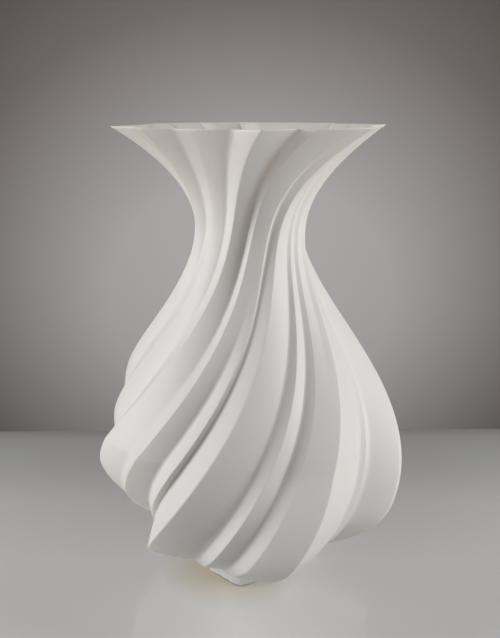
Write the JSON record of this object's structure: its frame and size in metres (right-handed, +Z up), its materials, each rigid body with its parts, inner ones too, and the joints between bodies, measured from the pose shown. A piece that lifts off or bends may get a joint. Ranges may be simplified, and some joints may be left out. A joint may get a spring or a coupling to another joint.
{
  "type": "twisted fluted vase",
  "caption": "Tall white printed vase with sharp twisting flutes, a full belly over a narrower foot, a slim neck and a flared open rim; holds dried stems or stands as an ornament.",
  "frame": {"origin": "centre of the base, on the table the vase stands on", "axes": "+Z is up along the vase's turning axis, -Y is the front, and +X is to the right seen from the front"},
  "size_m": [0.1542, 0.1954, 0.24],
  "materials": {
    "printed_plastic": "white printed plastic, slightly translucent, fine level layer lines"
  },
  "bodies": {
    "root": {"base_floor": "printed_plastic", "foot_wall": "printed_plastic", "belly_wall": "printed_plastic", "neck_wall": "printed_plastic", "rim_flare": "printed_plastic"}
  },
  "joints": []
}
